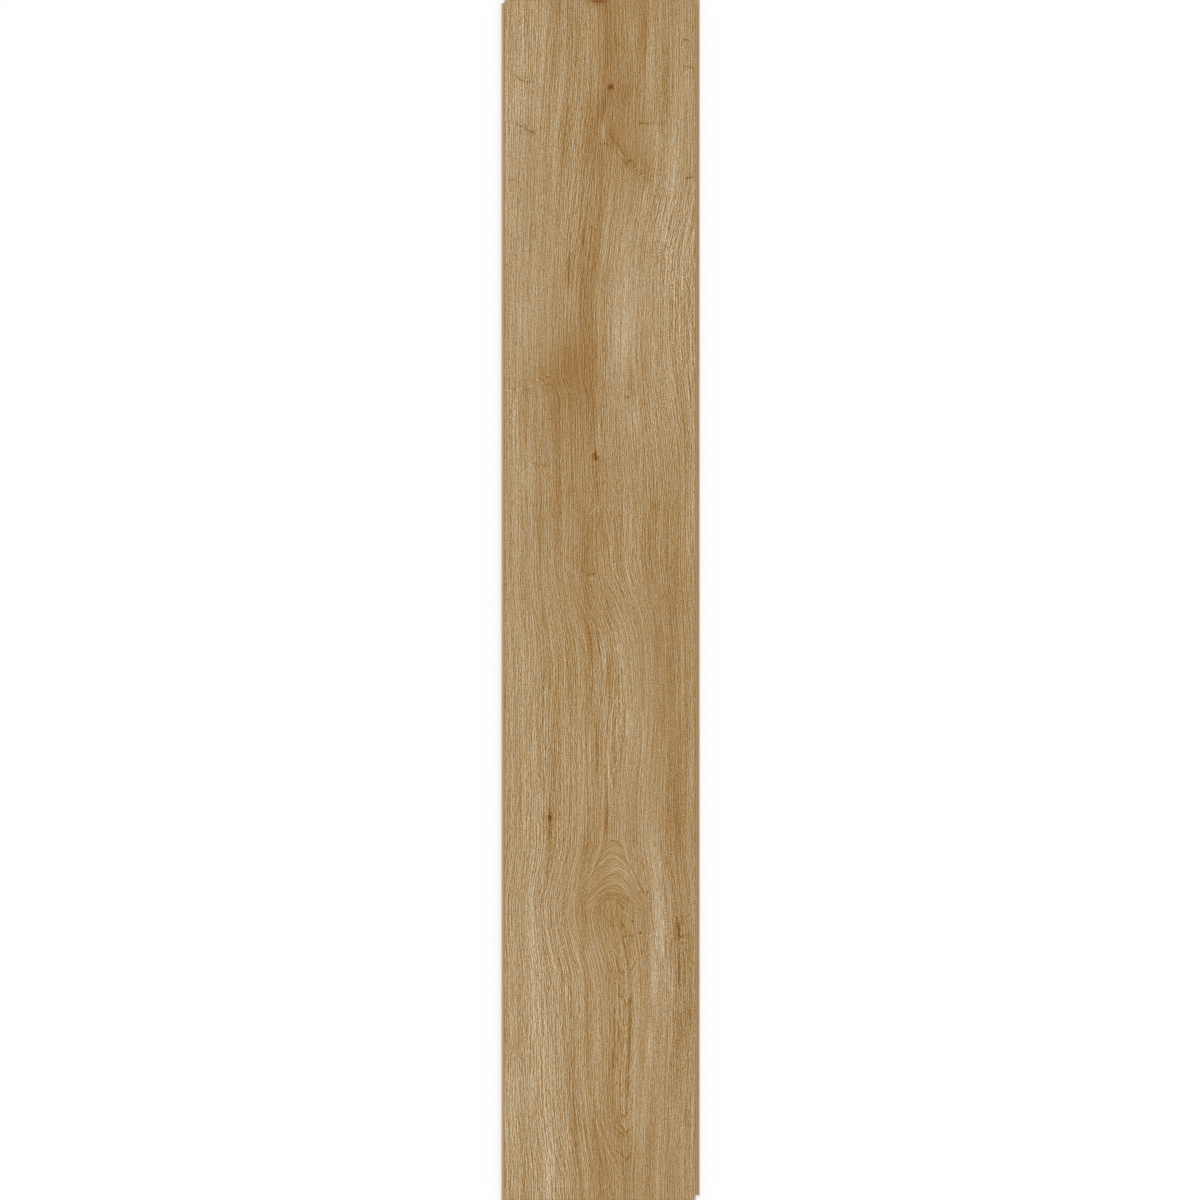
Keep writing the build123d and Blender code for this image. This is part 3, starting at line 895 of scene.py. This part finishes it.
def oak_material():
    """Ramp colour of middle + tone + contrast times grain - flecks - knots - marks."""
    material, shader, tree = new_material("printed_oak")
    across, along, _ = places_mm(tree)
    side = calc(tree, "DIVIDE", across, SIDE_SPREAD)
    on_fibres = grain_lines(tree, field(tree, "fibre"), along, 0.0, FIBRE_PORES, FIBRE_STREAKS)
    on_arches = grain_lines(tree, field(tree, "arch"), along, side, ARCH_PORES, ARCH_STREAKS)
    change = calc(tree, "SUBTRACT", on_arches, on_fibres)
    lines = calc(tree, "MULTIPLY_ADD", change, field(tree, "eye"), on_fibres)
    fine = calc(tree, "ADD", streak_sum(tree, across, along, GRIT_SIDE, GRIT), lines)
    grain = calc(tree, "MULTIPLY", fine, field(tree, "contrast"))
    grain = calc(tree, "MAXIMUM", calc(tree, "MINIMUM", grain, GRAIN_LIMIT), -GRAIN_LIMIT)
    short = calc(tree, "MAXIMUM", streaks(tree, along, across, FLECK_SIDE, *FLECK_SIZE), 0.0)
    flecks = calc(tree, "MULTIPLY", calc(tree, "MULTIPLY", short, field(tree, "fleck")), FLECK_STEPS)
    knots = calc(tree, "MULTIPLY", field(tree, "knot"), KNOT_STEPS)
    dark = calc(tree, "ADD", calc(tree, "ADD", flecks, knots), drawn_marks(tree, across, along))
    steps = calc(tree, "SUBTRACT", calc(tree, "ADD", field(tree, "tone"), grain), dark)
    level = calc(tree, "DIVIDE", calc(tree, "ADD", steps, OAK_MIDDLE), 255)
    light = calc(tree, "POWER", calc(tree, "MAXIMUM", level, 0.0), DISPLAY_POWER)
    shade = ramp(tree, light, [(linear(c[1]), printed(*c)) for c in OAK_COLOURS])
    roughness = calc(tree, "MULTIPLY_ADD", grain, *OAK_ROUGHNESS)
    dress(tree, shader, shade, roughness, OAK_SHEEN, calc(tree, "DIVIDE", grain, BUMP_STEPS), OAK_BUMP)
    return material


oak = oak_material()
print("oak:", len(oak.node_tree.nodes), "nodes")

# %% [markdown]
# ## The milled board and the backing
# The cutters leave the fibreboard bare at the edges: a fine felt of wood fibres, densest and darkest just
# under the two faces, with a thin dark line of resin where the printed paper was cut. The backing is a
# plain beige paper with a faint fibre. Both use the streaks group with short, wide marks.

# %% Board and backing materials
BOARD_CORE, BOARD_SKIN, RESIN_LINE = (203, 173, 132), (178, 147, 106), (136, 104, 66)
# Height of each layer, as a share of the thickness, and its colour, from the back to the face.
BOARD_LAYERS = (
    (0.0, BOARD_SKIN), (0.14, BOARD_CORE), (0.8, BOARD_CORE), (0.955, BOARD_SKIN), (0.972, RESIN_LINE),
)
FELT_FIBRE, FELT_CLOUD = (0.22, 0.8), (2.5, 1.2)  # width and length in mm
BACKING_DARK, BACKING_PALE = (184, 164, 132), (203, 186, 156)
PAPER_FIBRE, PAPER_CLOUD = (0.7, 3), (35, 60)  # width and length in mm
# Change for a full streak, and the middle, of the share of the second colour and of the roughness.
FELT_SHADE, FELT_ROUGHNESS = (0.09, 0.4), (0.02, 0.82)
CLOUD_SHADE, FIBRE_SHADE, PAPER_ROUGHNESS = (0.1, 0.5), 0.09, (0.015, 0.7)
BOARD_SHEEN, PAPER_SHEEN = 0.2, 0.25
BOARD_BUMP, PAPER_BUMP = (0.4, 0.00005), (0.3, 0.00003)  # strength and depth


def board_material():
    """Felt of fibres over a ramp through the thickness, from skin to core to skin to the resin line."""
    material, shader, tree = new_material("milled_board")
    across, along, up = places_mm(tree)
    depth = calc(tree, "DIVIDE", up, face_height / MM)
    layers = ramp(tree, depth, [(at, colour(*steps)) for at, steps in BOARD_LAYERS])
    sideways = calc(tree, "ADD", across, along)
    felt = calc(tree, "ADD", streaks(tree, up, sideways, across, *FELT_FIBRE),
                streaks(tree, sideways, up, along, *FELT_CLOUD))
    shade = mixed(tree, calc(tree, "MULTIPLY_ADD", felt, *FELT_SHADE), layers, colour(*BOARD_SKIN))
    roughness = calc(tree, "MULTIPLY_ADD", felt, *FELT_ROUGHNESS)
    dress(tree, shader, shade, roughness, BOARD_SHEEN, felt, BOARD_BUMP)
    return material


def backing_material():
    """Beige paper: two colours mixed by a faint fibre and a broad cloud."""
    material, shader, tree = new_material("backing_paper")
    across, along, up = places_mm(tree)
    fibre = streaks(tree, across, along, up, *PAPER_FIBRE)
    cloud = calc(tree, "MULTIPLY_ADD", streaks(tree, across, along, up, *PAPER_CLOUD), *CLOUD_SHADE)
    share = calc(tree, "MULTIPLY_ADD", fibre, FIBRE_SHADE, cloud)
    shade = mixed(tree, share, colour(*BACKING_DARK), colour(*BACKING_PALE))
    roughness = calc(tree, "MULTIPLY_ADD", fibre, *PAPER_ROUGHNESS)
    dress(tree, shader, shade, roughness, PAPER_SHEEN, fibre, PAPER_BUMP)
    return material


for finish in (oak, board_material(), backing_material()):
    plank.data.materials.append(finish)
print("finishes:", [m.name for m in plank.data.materials])

# %% [markdown]
# ## Floor, light and camera
# The plank lies on a plain pale floor under a soft sky and one wide lamp. The floor has an opening under
# the plank, because two faces at one height flicker, and the plank's back has to be seen from below. It
# shows white to the camera, because a little of its own light is added for camera rays, and it still takes
# the plank's shadow. The camera looks straight down through a long lens, so that the face's length fills
# the frame.

# %% Floor
FLOOR_SIZE = 14.0  # m
FLOOR_LAP, FLOOR_GAP = 0.003, 0.00005  # m that the floor reaches under the plank's back, and lies below it
FLOOR_ALBEDO, FLOOR_GLOW = 0.8, 0.24


def seen_directly(tree):
    """1 for what is seen directly, in a mirror or through glass, and 0 for the light that surfaces swap."""
    path = node(tree, "ShaderNodeLightPath").outputs
    seen = calc(tree, "MAXIMUM", path["Is Camera Ray"], path["Is Glossy Ray"])
    return calc(tree, "MAXIMUM", seen, path["Is Transmission Ray"])


def floor_piece():
    """A flat square round an opening under the plank, so that its back can be looked at from below."""
    corners = np.array([(-1, -1), (1, -1), (1, 1), (-1, 1)])
    back = solid_points[heights < HEIGHT_TOLERANCE, :2]
    opening = np.where(corners < 0, back.min(0) + FLOOR_LAP, back.max(0) - FLOOR_LAP)
    places = np.vstack([corners * FLOOR_SIZE / 2, opening])
    strips = [(i, (i + 1) % 4, 4 + (i + 1) % 4, 4 + i) for i in range(4)]
    mesh = bpy.data.meshes.new("floor")
    mesh.from_pydata(np.column_stack([places, np.full(len(places), -FLOOR_GAP)]), [], strips)
    floor = bpy.data.objects.new("floor", mesh)
    bpy.context.scene.collection.objects.link(floor)
    material = bpy.data.materials.new("pale_floor")
    tree = emptied(material)
    matt = node(tree, "ShaderNodeBsdfDiffuse", {"Color": (FLOOR_ALBEDO,) * 3 + (1.0,)})
    strength = calc(tree, "MULTIPLY", seen_directly(tree), FLOOR_GLOW)
    glow = node(tree, "ShaderNodeEmission", {"Strength": strength})
    both = node(tree, "ShaderNodeAddShader", {0: matt.outputs[0], 1: glow.outputs[0]})
    node(tree, "ShaderNodeOutputMaterial", {"Surface": both.outputs[0]})
    mesh.materials.append(material)
    return floor


print("floor:", floor_piece().name)

# %% Light
SKY_LEVEL = 0.62
LAMP_LEVEL = 1.09
LAMP_SOFTNESS = np.radians(50)
LAMP_TILT = (np.radians(-14), np.radians(6), 0.0)

scene = bpy.context.scene
scene.view_settings.view_transform = "Standard"
sky = bpy.data.worlds.new("soft_sky")
sky_tree = emptied(sky)
level = calc(sky_tree, "MULTIPLY_ADD", seen_directly(sky_tree), 1 - SKY_LEVEL, SKY_LEVEL)
background = node(sky_tree, "ShaderNodeBackground", {"Color": (1.0, 1.0, 1.0, 1.0), "Strength": level})
node(sky_tree, "ShaderNodeOutputWorld", {"Surface": background.outputs[0]})
scene.world = sky
lamp = bpy.data.lights.new("wide_lamp", "SUN")
lamp.energy, lamp.angle = LAMP_LEVEL, LAMP_SOFTNESS
lamp_object = bpy.data.objects.new("wide_lamp", lamp)
lamp_object.rotation_euler = LAMP_TILT
scene.collection.objects.link(lamp_object)
print("sky", SKY_LEVEL, "lamp", LAMP_LEVEL)

# %% Camera
LENS_MM = 200.0
SENSOR_MM = 36.0
FRAME_METRES = FACE_LENGTH * MM

camera = bpy.data.cameras.new("camera_above")
camera.lens, camera.sensor_width = LENS_MM, SENSOR_MM
camera_object = bpy.data.objects.new("camera_above", camera)
camera_object.location = (0, 0, face_height + FRAME_METRES * LENS_MM / SENSOR_MM)
scene.collection.objects.link(camera_object)
scene.camera = camera_object
print("camera height, m:", round(camera_object.location.z, 3))
